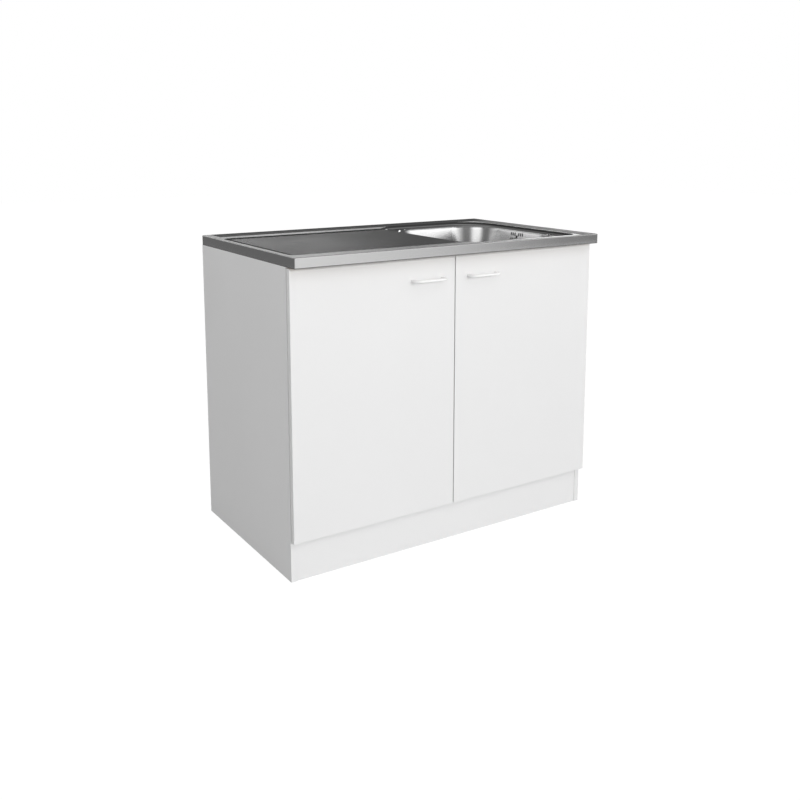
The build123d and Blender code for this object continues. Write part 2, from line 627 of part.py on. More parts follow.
# ---------------------------------------------------------------- bottle trap
PIPE_R = 20
PIPE_BORE = 18.3
TAIL_FOOT = 450
NUT_R = 28
NUT_PLAY = 0.2
BOTTLE_R = 34
BOTTLE_WALL = 2.5
BOTTLE_Z = (431, 520)
BOTTLE_NECK = (23, 14)  # radius, height
SLEEVE_PLAY = 0.3
CUP_Z = (400, 446)
TRAP_CUP_WALL = 3
OUTLET_Z = 498
STUB_END = DRAIN_Y + 60
OUTLET_END = BACK - 2
STOP_RING = (22, 3)  # radius, length

with BuildPart() as tail_pipe:
    tube((DRAIN_X, DRAIN_Y, TAIL_FOOT), PIPE_R, PIPE_BORE, NECK_FOOT - TAIL_FOOT)

with BuildPart() as tail_nut:
    tube((DRAIN_X, DRAIN_Y, NECK_FOOT - 12), NUT_R - 1, NECK_R + NUT_PLAY, 24)

with BuildPart() as trap_bottle:
    bottle_height = BOTTLE_Z[1] - BOTTLE_Z[0]
    neck_r, neck_height = BOTTLE_NECK
    sleeve_r = PIPE_R + SLEEVE_PLAY
    rod((DRAIN_X, DRAIN_Y, BOTTLE_Z[0]), BOTTLE_R, bottle_height)
    rod((DRAIN_X, DRAIN_Y, BOTTLE_Z[1]), neck_r, neck_height)
    rod((DRAIN_X, DRAIN_Y, OUTLET_Z), PIPE_R, STUB_END - DRAIN_Y, "Y")
    hollow_r, hollow_height = BOTTLE_R - BOTTLE_WALL, bottle_height - 3
    rod((DRAIN_X, DRAIN_Y, BOTTLE_Z[0]), hollow_r, hollow_height, mode=Mode.SUBTRACT)
    rod((DRAIN_X, DRAIN_Y, BOTTLE_Z[1]), sleeve_r, neck_height, mode=Mode.SUBTRACT)
    rod((DRAIN_X, DRAIN_Y, BOTTLE_Z[1]), sleeve_r, neck_height, "-Z", Mode.SUBTRACT)
    rod((DRAIN_X, DRAIN_Y, OUTLET_Z), PIPE_BORE, STUB_END - DRAIN_Y, "Y", Mode.SUBTRACT)

with BuildPart() as trap_inlet_nut:
    tube((DRAIN_X, DRAIN_Y, BOTTLE_Z[1] + 1), NUT_R, neck_r + NUT_PLAY, neck_height + 1)

with BuildPart() as trap_cup:
    cup_inner_foot = CUP_Z[0] + TRAP_CUP_WALL
    cup_depth = CUP_Z[1] - cup_inner_foot
    cup_bore = BOTTLE_R + SLEEVE_PLAY
    rod((DRAIN_X, DRAIN_Y, CUP_Z[0]), BOTTLE_R + TRAP_CUP_WALL, CUP_Z[1] - CUP_Z[0])
    rod((DRAIN_X, DRAIN_Y, cup_inner_foot), cup_bore, cup_depth, mode=Mode.SUBTRACT)

with BuildPart() as outlet_nut:
    tube((DRAIN_X, STUB_END - 10, OUTLET_Z), NUT_R, PIPE_R + NUT_PLAY, 22, "Y")

with BuildPart() as outlet_pipe:
    rod((DRAIN_X, STUB_END + 12, OUTLET_Z), *STOP_RING, "Y")
    tube((DRAIN_X, STUB_END, OUTLET_Z), PIPE_R, PIPE_BORE, OUTLET_END - STUB_END, "Y")

# ---------------------------------------------------------------- doors
# Everything of the left door is made here; the right door is its mirror image.
CUP_SCREW_BACK = 6  # from the cup's centre, away from the door's outer edge
CUP_SCREW_SPACING = 48
CUP_SCREW_R = 1.75
cup_screws = [
    (CUP_X + CUP_SCREW_BACK, z + side * CUP_SCREW_SPACING / 2)
    for z in HINGE_HEIGHTS
    for side in (-1, 1)
]
CUP_SCREW_LENGTH = 10
CUP_SCREW_HEAD = (3.2, 0.9)  # radius, height
WING = 0.8  # thickness of the cup's flange
WING_SIZE = (12, 13)  # width and height of the flange's lug round each screw
WING_BRIDGE = (-4, 12, 18)  # the flange's middle: low and high X from the cup, half height
PIN_HALF = 9.4
handle_screws = [-HANDLE_INSET, -HANDLE_INSET - HANDLE_SPACING]
HANDLE_SCREW_R = 2
HANDLE_SCREW_HEAD = (4.2, 2.2)
HANDLE_THREAD = 9  # depth of the threaded bores in the handle's feet
BUMPER_R = 4
BUMPER_INSET = 22  # from the middle of the unit
BUMPER_HEIGHTS = (118, 802)
DOOR_SOFT_EDGE = 0.6
DOOR_CORNER = 2  # rear outer corner, which swings past the side panel

with BuildPart() as left_door_panel:
    block((DOOR_OUTER, DOOR_INNER), (DOOR_FRONT, DOOR_BACK), (PLINTH_HEIGHT, DOOR_TOP))
    upright_edges = left_door_panel.edges().filter_by(Axis.Z)
    fillet(upright_edges.group_by(Axis.X)[0].sort_by(Axis.Y)[-1:], DOOR_CORNER)
    fillet(left_door_panel.faces().sort_by(Axis.Y)[0].edges(), DOOR_SOFT_EDGE)
    for z in HINGE_HEIGHTS:
        rod((CUP_X, DOOR_BACK, z), HINGE_CUP_R + FIT, HINGE_CUP_DEPTH + FIT, "-Y", Mode.SUBTRACT)
    for x, z in cup_screws:
        rod((x, DOOR_BACK, z), CUP_SCREW_R, CUP_SCREW_LENGTH + BORE_END, "-Y", Mode.SUBTRACT)
    head_r, head_height = HANDLE_SCREW_HEAD
    for x in handle_screws:
        rod((x, DOOR_BACK, HANDLE_HEIGHT), HANDLE_SCREW_R + 0.3, BOARD, "-Y", Mode.SUBTRACT)
        rod((x, DOOR_BACK, HANDLE_HEIGHT), head_r + 0.3, head_height + 0.4, "-Y", Mode.SUBTRACT)

with BuildPart() as left_handle:
    bar_y = DOOR_FRONT - HANDLE_REACH
    far_x, near_x = handle_screws[1], handle_screws[0]
    with BuildLine(Plane.XY.offset(HANDLE_HEIGHT)) as bow:
        corners = [(far_x, DOOR_FRONT), (far_x, bar_y), (near_x, bar_y), (near_x, DOOR_FRONT)]
        FilletPolyline(*corners, radius=HANDLE_BEND)
    with BuildSketch(Plane((far_x, DOOR_FRONT, HANDLE_HEIGHT), (1, 0, 0), (0, -1, 0))):
        Circle(HANDLE_R)
    sweep(path=bow.line)
    for x in handle_screws:
        rod((x, DOOR_FRONT, HANDLE_HEIGHT), HANDLE_SCREW_R, HANDLE_THREAD, "-Y", Mode.SUBTRACT)

with BuildPart() as left_handle_screws:
    head_y = DOOR_BACK - 0.3
    thread_end = DOOR_FRONT - HANDLE_THREAD + BORE_END
    for x in handle_screws:
        rod((x, head_y, HANDLE_HEIGHT), *HANDLE_SCREW_HEAD, "-Y")
        rod((x, head_y, HANDLE_HEIGHT), HANDLE_SCREW_R, head_y - thread_end, "-Y")

with BuildPart() as left_hinge_cups:
    for z in HINGE_HEIGHTS:
        rod((CUP_X, DOOR_BACK, z), HINGE_CUP_R, HINGE_CUP_DEPTH, "-Y")
        bridge_low, bridge_high, bridge_half = WING_BRIDGE
        bridge_z = (z - bridge_half, z + bridge_half)
        block((CUP_X + bridge_low, CUP_X + bridge_high), (DOOR_BACK, DOOR_BACK + WING), bridge_z)
        inside = HINGE_CUP_DEPTH - HINGE_CUP_BASE + WING
        bore = HINGE_CUP_R - HINGE_CUP_WALL
        rod((CUP_X, DOOR_BACK + WING, z), bore, inside, "-Y", Mode.SUBTRACT)
        rod((AXIS_X, AXIS_Y, z - PIN_HALF), PIN_R, 2 * PIN_HALF, mode=Mode.SUBTRACT)
    for x, z in cup_screws:
        with Locations((x, DOOR_BACK + WING / 2, z)):
            Box(WING_SIZE[0], WING, WING_SIZE[1])
        rod((x, DOOR_BACK, z), CUP_SCREW_R, WING, "Y", Mode.SUBTRACT)

with BuildPart() as left_hinge_pins:
    for z in HINGE_HEIGHTS:
        rod((AXIS_X, AXIS_Y, z - PIN_HALF), PIN_R, 2 * PIN_HALF)

with BuildPart() as left_cup_screws:
    for x, z in cup_screws:
        rod((x, DOOR_BACK + WING, z), CUP_SCREW_R, CUP_SCREW_LENGTH, "-Y")
        rod((x, DOOR_BACK + WING, z), *CUP_SCREW_HEAD, "Y")

with BuildPart() as left_door_bumpers:
    for z in BUMPER_HEIGHTS:
        rod((-BUMPER_INSET, DOOR_BACK, z), BUMPER_R, DOOR_GAP - 0.2, "Y")

right_door_panel = mirrored(left_door_panel)
right_handle = mirrored(left_handle)
right_handle_screws = mirrored(left_handle_screws)
right_hinge_cups = mirrored(left_hinge_cups)
right_hinge_pins = mirrored(left_hinge_pins)
right_cup_screws = mirrored(left_cup_screws)
right_door_bumpers = mirrored(left_door_bumpers)

# ---------------------------------------------------------------- hinge arms and plates
# The gooseneck leaves the pin inside the cup and turns back outside the circle that the
# door's outer edge sweeps, so the door swings past a right angle on one fixed pin.
NECK_INSIDE = 11.9  # from the axis to the gooseneck's hollow side
NECK_OUTSIDE = 15.5
NECK_FOOT_Y = (-1.9, 1.2)  # thickness of the gooseneck's foot, from the axis
NECK_REACH = 6  # the narrow neck ends this far behind the door
ARM_TAIL = 5  # the arm ends this far behind its plate
PLATE_HALF = (12.5, 26)  # along Y and along Z
PLATE_SCREW_HEAD = (4, 1.6)  # radius, height
PLATE_X = (INNER_LEFT, AXIS_X + NECK_INSIDE)
PLATE_Y = (PLATE_LINE_Y - PLATE_HALF[0], PLATE_LINE_Y + PLATE_HALF[0])

with BuildPart() as left_hinge_arms:
    neck_x = (AXIS_X + NECK_INSIDE, AXIS_X + NECK_OUTSIDE)
    neck_front, foot_back = AXIS_Y + NECK_FOOT_Y[0], AXIS_Y + NECK_FOOT_Y[1]
    neck_back = DOOR_BACK + NECK_REACH
    for z in HINGE_HEIGHTS:
        neck_z = (z - NECK_HALF_WIDTH, z + NECK_HALF_WIDTH)
        arm_z = (z - ARM_HALF_WIDTH, z + ARM_HALF_WIDTH)
        rod((AXIS_X, AXIS_Y, neck_z[0]), KNUCKLE_R, 2 * NECK_HALF_WIDTH)
        block((AXIS_X, neck_x[1]), (neck_front, foot_back), neck_z)
        block(neck_x, (neck_front, neck_back), neck_z)
        block(neck_x, (neck_back, PLATE_Y[1] + ARM_TAIL), arm_z)
        pin_bore = PIN_R + PIN_CLEARANCE
        rod((AXIS_X, AXIS_Y, neck_z[0]), pin_bore, 2 * NECK_HALF_WIDTH, mode=Mode.SUBTRACT)

with BuildPart() as left_hinge_plates:
    for z in HINGE_HEIGHTS:
        block(PLATE_X, PLATE_Y, (z - PLATE_HALF[1], z + PLATE_HALF[1]))
    for z in plate_screw_heights:
        start = (INNER_LEFT, PLATE_LINE_Y, z)
        rod(start, PLATE_SCREW_R, PLATE_X[1] - INNER_LEFT, "X", Mode.SUBTRACT)

with BuildPart() as left_plate_screws:
    for z in plate_screw_heights:
        start = (INNER_LEFT - PLATE_SCREW_IN_SIDE, PLATE_LINE_Y, z)
        rod(start, PLATE_SCREW_R, PLATE_X[1] - start[0], "X")
        rod((PLATE_X[1], PLATE_LINE_Y, z), *PLATE_SCREW_HEAD, "X")

right_hinge_arms = mirrored(left_hinge_arms)
right_hinge_plates = mirrored(left_hinge_plates)
right_plate_screws = mirrored(left_plate_screws)

# ---------------------------------------------------------------- files
pieces = {
    "left_side_panel": left_side_panel,
    "right_side_panel": right_side_panel,
    "bottom_panel": bottom_panel,
    "plinth_board": plinth_board,
    "front_rail": front_rail,
    "rear_rail": rear_rail,
    "back_panel": back_panel,
    "carcass_dowels": carcass_dowels,
    "cam_bolts": cam_bolts,
    "cam_locks": cam_locks,
    "front_strip": front_strip,
    "rear_strip": rear_strip,
    "left_strip": left_strip,
    "right_strip": right_strip,
    "sink_angles": sink_angles,
    "damping_pad": damping_pad,
    "sink_top": sink_top,
    "sink_bowl": sink_bowl,
    "upper_seal": upper_seal,
    "drain_flange": drain_flange,
    "lower_seal": lower_seal,
    "waste_body": waste_body,
    "clamp_screw": clamp_screw,
    "strainer_basket": strainer_basket,
    "basket_seal": basket_seal,
    "overflow_gasket": overflow_gasket,
    "overflow_box": overflow_box,
    "overflow_drop_pipe": overflow_drop_pipe,
    "overflow_bend": overflow_bend,
    "overflow_cross_pipe": overflow_cross_pipe,
    "overflow_nut": overflow_nut,
    "tail_pipe": tail_pipe,
    "tail_nut": tail_nut,
    "trap_bottle": trap_bottle,
    "trap_inlet_nut": trap_inlet_nut,
    "trap_cup": trap_cup,
    "outlet_nut": outlet_nut,
    "outlet_pipe": outlet_pipe,
    "left_door_panel": left_door_panel,
    "left_handle": left_handle,
    "left_handle_screws": left_handle_screws,
    "left_hinge_cups": left_hinge_cups,
    "left_hinge_pins": left_hinge_pins,
    "left_cup_screws": left_cup_screws,
    "left_door_bumpers": left_door_bumpers,
    "left_hinge_arms": left_hinge_arms,
    "left_hinge_plates": left_hinge_plates,
    "left_plate_screws": left_plate_screws,
    "right_door_panel": right_door_panel,
    "right_handle": right_handle,
    "right_handle_screws": right_handle_screws,
    "right_hinge_cups": right_hinge_cups,
    "right_hinge_pins": right_hinge_pins,
    "right_cup_screws": right_cup_screws,
    "right_door_bumpers": right_door_bumpers,
    "right_hinge_arms": right_hinge_arms,
    "right_hinge_plates": right_hinge_plates,
    "right_plate_screws": right_plate_screws,
}

os.makedirs("parts", exist_ok=True)
for label, piece in pieces.items():
    piece.part.label = label
    export_step(piece.part, f"parts/{label}.step")
print(len(pieces), "pieces written")
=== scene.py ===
import bpy
import bmesh
import json
import math
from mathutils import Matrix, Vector

# A kitchen sink unit: white boards, white bow handles and a brushed steel sink.
# Metres. X runs to the right, Y to the wall behind the unit, Z up.

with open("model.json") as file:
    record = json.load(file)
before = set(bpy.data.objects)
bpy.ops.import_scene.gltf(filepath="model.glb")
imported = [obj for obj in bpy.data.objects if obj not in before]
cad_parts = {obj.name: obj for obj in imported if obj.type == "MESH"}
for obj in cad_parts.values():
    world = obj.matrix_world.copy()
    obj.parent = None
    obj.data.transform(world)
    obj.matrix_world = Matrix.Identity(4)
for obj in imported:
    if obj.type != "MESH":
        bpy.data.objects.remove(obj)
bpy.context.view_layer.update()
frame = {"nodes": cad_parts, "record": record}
scene = bpy.context.scene


# ---------------------------------------------------------------- camera
CAMERA_PLACE = (-1.4764, -2.2645, 1.1389)
CAMERA_YAW = 33.01  # degrees from the wall's direction towards the right
CAMERA_PITCH = -8.97
CAMERA_LENS = 41.51
CAMERA_SHIFT_Y = -0.15
SENSOR_WIDTH = 36
VIEW_RANGE = (0.05, 60)


def make_camera():
    data = bpy.data.cameras.new("camera")
    data.lens = CAMERA_LENS
    data.sensor_width = SENSOR_WIDTH
    data.shift_y = CAMERA_SHIFT_Y
    data.clip_start, data.clip_end = VIEW_RANGE
    camera = bpy.data.objects.new("camera", data)
    camera.location = CAMERA_PLACE
    camera.rotation_euler = (math.radians(90 + CAMERA_PITCH), 0, -math.radians(CAMERA_YAW))
    scene.collection.objects.link(camera)
    scene.camera = camera


# ---------------------------------------------------------------- studio
def grey(level):
    return (level, level, level)


def node(tree, kind, place=(0, 0), **values):
    """A shader node with its settings and unlinked inputs given by name."""
    made = tree.nodes.new(kind)
    made.location = place
    for name, value in values.items():
        if hasattr(made, name) and name not in made.inputs:
            setattr(made, name, value)
        else:
            made.inputs[name.replace("_", " ")].default_value = value
    return made


# How bright the room is in reflections, by compass direction: turns from straight ahead of the doors (0.5)
# by the left (0.25) and the right (0.75) to the wall (0 and 1). First below the horizon, then above it.
LOW_ROOM = (
    (0.000, 0.27), (0.060, 0.20), (0.140, 0.20), (0.250, 0.35), (0.375, 0.90), (0.500, 1.15), (0.575, 1.15),
    (0.600, 0.88), (0.620, 0.35), (0.650, 0.12), (0.750, 0.12), (0.870, 0.06), (0.935, 0.20), (1.000, 0.27),
)
HIGH_ROOM = (
    (0.000, 0.45), (0.070, 0.60), (0.110, 1.30), (0.150, 1.00), (0.220, 0.25), (0.275, 0.30), (0.310, 1.90),
    (0.370, 1.90), (0.410, 0.35), (0.470, 0.35), (0.520, 1.20), (0.560, 2.10), (0.640, 2.10), (0.700, 0.35),
    (0.760, 0.12), (0.860, 0.10), (0.885, 0.14), (0.905, 0.09), (0.918, 0.14), (0.932, 0.22), (0.960, 0.34),
    (1.000, 0.45),
)
# By height, where 0 is straight down, 0.5 level and 1 straight up.
HORIZON = ((0.47, 0), (0.52, 1))
ROOM_TOP = ((0.64, 0), (0.665, 1))
CEILING = ((0.66, 0.08), (0.75, 0.16), (0.86, 0.26), (1.0, 0.45))
# A long lamp on the wall behind the unit, by direction and by height, which the satin rim picks up.
WALL_LAMP = (
    (0.000, 1.6), (0.080, 1.2), (0.160, 0.0), (0.820, 0.0), (0.850, 6.2), (0.888, 6.2), (0.8915, 0.0),
    (0.905, 0.0), (0.912, 1.1), (0.921, 2.1), (0.934, 1.8), (0.942, 1.2), (1.000, 1.1),
)
LAMP_HEIGHT = ((0.595, 0), (0.61, 1), (0.635, 1), (0.65, 0))

# Broad lights: name, place, the point that they face, size and power.
LIGHTS = (
    ("front_light", (0.8, -9.5, 3.2), (0, -0.2, 0.5), (7.0, 1.5), 332),
    ("high_light", (0.6, -5.0, 5.0), (0, -0.2, 0.5), (7.0, 3.4), 124),
    ("left_light", (-4.4, 0.2, 2.6), (0, 0, 0.5), (4.0, 2.6), 39),
)

FLOOR_SIZE = 14
FLOOR_TONE = 0.55
FLOOR_ROUGHNESS = 0.9
GLOW_STRENGTH = 1.10
GLOW_SHARE = 0.9  # to the camera; the rest is paint, which takes the shadow


def ramp_by(tree, place, source, stops):
    """A grey level that follows the source through the given (position, level) stops."""
    ramp = node(tree, "ShaderNodeValToRGB", place)
    marks = ramp.color_ramp.elements
    while len(marks) < len(stops):
        marks.new(0.5)
    for mark, (position, level) in zip(marks, stops):
        mark.position = position
        mark.color = (*grey(level), 1)
    tree.links.new(source, ramp.inputs[0])
    return ramp.outputs[0]


def mix_by(tree, place, share, first, second):
    """A mix of two colours, each a socket or an (r, g, b)."""
    mix = node(tree, "ShaderNodeMix", place, data_type="RGBA")
    tree.links.new(share, mix.inputs["Factor"])
    for label, value in (("A", first), ("B", second)):
        socket = next(s for s in mix.inputs if s.name == label and s.type == "RGBA")
        if isinstance(value, tuple):
            socket.default_value = (*value, 1)
        else:
            tree.links.new(value, socket)
    return next(s for s in mix.outputs if s.type == "RGBA")


def make_world():
    """White to the camera. Reflections show soft windows in front and on the left, under a dark ceiling."""
    world = bpy.data.worlds.new("studio")
    scene.world = world
    world.use_nodes = True
    tree = world.node_tree
    tree.nodes.clear()
    link = tree.links.new
    direction = node(tree, "ShaderNodeTexCoord", (-1300, 0))
    split = node(tree, "ShaderNodeSeparateXYZ", (-1100, 0))
    link(direction.outputs["Generated"], split.inputs[0])
    front = node(tree, "ShaderNodeMath", (-950, -150), operation="MULTIPLY")
    link(split.outputs["Y"], front.inputs[0])
    front.inputs[1].default_value = -1
    angle = node(tree, "ShaderNodeMath", (-800, 0), operation="ARCTAN2")
    link(split.outputs["X"], angle.inputs[0])
    link(front.outputs[0], angle.inputs[1])
    turn = node(tree, "ShaderNodeMapRange", (-650, 0))
    turn.inputs["From Min"].default_value = -math.pi
    turn.inputs["From Max"].default_value = math.pi
    link(angle.outputs[0], turn.inputs["Value"])
    height = node(tree, "ShaderNodeMapRange", (-650, -300))
    height.inputs["From Min"].default_value = -1
    link(split.outputs["Z"], height.inputs["Value"])
    low = ramp_by(tree, (-400, 100), turn.outputs["Result"], LOW_ROOM)
    high = ramp_by(tree, (-400, -150), turn.outputs["Result"], HIGH_ROOM)
    above = ramp_by(tree, (-400, -400), height.outputs["Result"], HORIZON)
    overhead = ramp_by(tree, (-400, -650), height.outputs["Result"], ROOM_TOP)
    strip = ramp_by(tree, (-400, -900), height.outputs["Result"], LAMP_HEIGHT)
    lamp = ramp_by(tree, (-400, -1150), turn.outputs["Result"], WALL_LAMP)
    room = mix_by(tree, (-100, 100), above, low, high)
    share = node(tree, "ShaderNodeVectorMath", (-100, -900), operation="MULTIPLY")
    link(strip, share.inputs[0])
    link(lamp, share.inputs[1])
    lit = node(tree, "ShaderNodeVectorMath", (0, -100), operation="ADD")
    link(room, lit.inputs[0])
    link(share.outputs[0], lit.inputs[1])
    ceiling = ramp_by(tree, (-400, -1400), height.outputs["Result"], CEILING)
    dome = mix_by(tree, (100, 0), overhead, lit.outputs[0], ceiling)
    light = node(tree, "ShaderNodeBackground", (250, 100))
    link(dome, light.inputs["Color"])
    plain = node(tree, "ShaderNodeBackground", (250, -100))
    plain.inputs["Color"].default_value = (1, 1, 1, 1)
    path = node(tree, "ShaderNodeLightPath", (250, 400))
    mix = node(tree, "ShaderNodeMixShader", (450, 0))
    link(path.outputs["Is Camera Ray"], mix.inputs[0])
    link(light.outputs[0], mix.inputs[1])
    link(plain.outputs[0], mix.inputs[2])
    out = node(tree, "ShaderNodeOutputWorld", (650, 0))
    link(mix.outputs[0], out.inputs[0])


def make_soft_light(name, place, target, size, power):
    """A broad light that brightens matt surfaces and leaves no mark in the polished ones."""
    data = bpy.data.lights.new(name, "AREA")
    data.shape = "RECTANGLE"
    data.size, data.size_y = size
    data.energy = power
    light = bpy.data.objects.new(name, data)
    light.location = place
    light.rotation_euler = (Vector(target) - Vector(place)).to_track_quat("-Z", "Y").to_euler()
    light.visible_camera = False
    light.visible_glossy = False
    scene.collection.objects.link(light)


def make_floor():
    """A pale floor that takes a faint shadow and is otherwise as white as the background."""
    mesh = bpy.data.meshes.new("floor")
    form = bmesh.new()
    bmesh.ops.create_grid(form, x_segments=1, y_segments=1, size=FLOOR_SIZE)
    form.to_mesh(mesh)
    form.free()
    floor = bpy.data.objects.new("floor", mesh)
    scene.collection.objects.link(floor)
    floor.visible_glossy = False
    material = bpy.data.materials.new("studio_floor")
    material.use_nodes = True
    tree = material.node_tree
    paint = tree.nodes["Principled BSDF"]
    paint.inputs["Base Color"].default_value = (*grey(FLOOR_TONE), 1)
    paint.inputs["Roughness"].default_value = FLOOR_ROUGHNESS
    glow = node(tree, "ShaderNodeEmission", (0, -300), Strength=GLOW_STRENGTH)
    path = node(tree, "ShaderNodeLightPath", (-400, 300))
    share = node(tree, "ShaderNodeMath", (-200, 300), operation="MULTIPLY")
    share.inputs[1].default_value = GLOW_SHARE
    tree.links.new(path.outputs["Is Camera Ray"], share.inputs[0])
    mix = node(tree, "ShaderNodeMixShader", (250, 0))
    tree.links.new(share.outputs[0], mix.inputs[0])
    tree.links.new(paint.outputs[0], mix.inputs[1])
    tree.links.new(glow.outputs[0], mix.inputs[2])
    tree.links.new(mix.outputs[0], tree.nodes["Material Output"].inputs["Surface"])
    mesh.materials.append(material)


def make_studio():
    make_world()
    make_floor()
    for light in LIGHTS:
        make_soft_light(*light)
    scene.view_settings.view_transform = "Standard"


# ---------------------------------------------------------------- shared effects
def start_group(name, inputs, outputs):
    """An empty node group with named sockets: (name, kind, default) each."""
    group = bpy.data.node_groups.new(name, "ShaderNodeTree")
    for label, kind, default in inputs:
        socket = group.interface.new_socket(label, in_out="INPUT", socket_type=kind)
        if default is not None:
            socket.default_value = default
    for label, kind in outputs:
        group.interface.new_socket(label, in_out="OUTPUT", socket_type=kind)
    start = node(group, "NodeGroupInput", (-1200, 0))
    end = node(group, "NodeGroupOutput", (600, 0))
    return group, start, end


FLOAT, VECTOR = "NodeSocketFloat", "NodeSocketVector"


def brushed_group():
    """Fine parallel scratches along one axis, with cloudy unevenness between them."""
    group, start, end = start_group(
        "brushed_lines",
        [("Place", VECTOR, None), ("Stretch", VECTOR, (1, 60, 60)), ("Fineness", FLOAT, 40.0),
         ("Cloud Size", FLOAT, 6.0)],
        [("Lines", FLOAT), ("Clouds", FLOAT)],
    )
    link = group.links.new
    scaled = node(group, "ShaderNodeVectorMath", (-950, 0), operation="MULTIPLY")
    link(start.outputs["Place"], scaled.inputs[0])
    link(start.outputs["Stretch"], scaled.inputs[1])
    lines = node(group, "ShaderNodeTexNoise", (-700, 100), Detail=3.0, Roughness=0.65)
    link(scaled.outputs[0], lines.inputs["Vector"])
    link(start.outputs["Fineness"], lines.inputs["Scale"])
    clouds = node(group, "ShaderNodeTexNoise", (-700, -200), Detail=4.0, Roughness=0.6)
    link(start.outputs["Place"], clouds.inputs["Vector"])
    link(start.outputs["Cloud Size"], clouds.inputs["Scale"])
    link(lines.outputs["Fac"], end.inputs["Lines"])
    link(clouds.outputs["Fac"], end.inputs["Clouds"])
    return group


def mottle_group():
    """Two sizes of soft noise, for slight differences in colour and gloss."""
    group, start, end = start_group(
        "mottle",
        [("Place", VECTOR, None), ("Coarse", FLOAT, 5.0), ("Fine", FLOAT, 300.0)],
        [("Coarse", FLOAT), ("Fine", FLOAT)],
    )
    link = group.links.new
    for label, height in (("Coarse", 150), ("Fine", -150)):
        noise = node(group, "ShaderNodeTexNoise", (-600, height), Detail=4.0, Roughness=0.55)
        link(start.outputs["Place"], noise.inputs["Vector"])
        link(start.outputs[label], noise.inputs["Scale"])
        link(noise.outputs["Fac"], end.inputs[label])
    return group


def grain_group():
    """Wood grain that runs along the axis that Stretch shortens."""
    group, start, end = start_group(
        "wood_grain",
        [("Place", VECTOR, None), ("Stretch", VECTOR, (1, 12, 12)), ("Scale", FLOAT, 6.0)],
        [("Rings", FLOAT), ("Pores", FLOAT)],
    )
    link = group.links.new
    scaled = node(group, "ShaderNodeVectorMath", (-950, 0), operation="MULTIPLY")
    link(start.outputs["Place"], scaled.inputs[0])
    link(start.outputs["Stretch"], scaled.inputs[1])
    rings = node(group, "ShaderNodeTexWave", (-650, 100), Distortion=6.0, Detail=3.0)
    rings.wave_type = "RINGS"
    link(scaled.outputs[0], rings.inputs["Vector"])
    link(start.outputs["Scale"], rings.inputs["Scale"])
    pores = node(group, "ShaderNodeTexNoise", (-650, -250), Scale=60.0, Detail=5.0)
    link(scaled.outputs[0], pores.inputs["Vector"])
    link(rings.outputs["Fac"], end.inputs["Rings"])
    link(pores.outputs["Fac"], end.inputs["Pores"])
    return group


# ---------------------------------------------------------------- materials
NODE_PLACE = (-700, 0)


class Finish:
    """A material under construction: its tree, its shader and the object's own coordinates."""

    def __init__(self, name, roughness, metallic=0.0):
        self.material = bpy.data.materials.new(name)
        self.material.use_nodes = True
        self.tree = self.material.node_tree
        self.shader = self.tree.nodes["Principled BSDF"]
        self.shader.inputs["Roughness"].default_value = roughness
        self.shader.inputs["Metallic"].default_value = metallic
        self.place = node(self.tree, "ShaderNodeTexCoord", (-1400, 0)).outputs["Object"]

    def link(self, source, target):
        self.tree.links.new(source, target)

    def add(self, kind, **values):
        return node(self.tree, kind, NODE_PLACE, **values)

    def effect(self, group, **values):
        made = self.tree.nodes.new("ShaderNodeGroup")
        made.node_tree = group
        for name, value in values.items():
            made.inputs[name.replace("_", " ")].default_value = value
        self.link(self.place, made.inputs["Place"])
        return made

    def spread(self, source, low, high, start=0.3, end=0.7):
        """A value between low and high, as the source goes from start to end."""
        step = self.add("ShaderNodeMapRange")
        for name, value in (("From Min", start), ("From Max", end), ("To Min", low), ("To Max", high)):
            step.inputs[name].default_value = value
        self.link(source, step.inputs["Value"])
        return step.outputs["Result"]

    def blend(self, factor, low, high):
        """A colour between two, each given as (r, g, b) or as a socket."""
        return mix_by(self.tree, NODE_PLACE, factor, low, high)

    def combine(self, operation, *values):
        """One value from two, each a socket or a number."""
        step = self.add("ShaderNodeMath", operation=operation)
        step.use_clamp = True
        for socket, value in zip(step.inputs, values):
            if isinstance(value, float):
                socket.default_value = value
            else:
                self.link(value, socket)
        return step.outputs[0]

    def colour(self, socket):
        self.link(socket, self.shader.inputs["Base Color"])

    def roughness(self, socket):
        self.link(socket, self.shader.inputs["Roughness"])

    def bump(self, socket, distance, strength):
        bump = self.add("ShaderNodeBump", Strength=strength, Distance=distance)
        self.link(socket, bump.inputs["Height"])
        self.link(bump.outputs["Normal"], self.shader.inputs["Normal"])


def white_board(mottle):
    """Smooth white coated chipboard with the faint orange peel of a melamine surface."""
    finish = Finish("white_board", roughness=0.42)
    effect = finish.effect(mottle, Coarse=3.0, Fine=260.0)
    finish.colour(finish.blend(effect.outputs["Coarse"], grey(0.80), grey(0.83)))
    finish.roughness(finish.spread(effect.outputs["Coarse"], 0.38, 0.48))
    finish.bump(effect.outputs["Fine"], 0.00004, 0.5)
    return finish.material


DARK_FIBRE = (0.17, 0.095, 0.045)
BARE_FIBRE = (0.40, 0.26, 0.14)
PALE_FIBRE = (0.44, 0.31, 0.19)


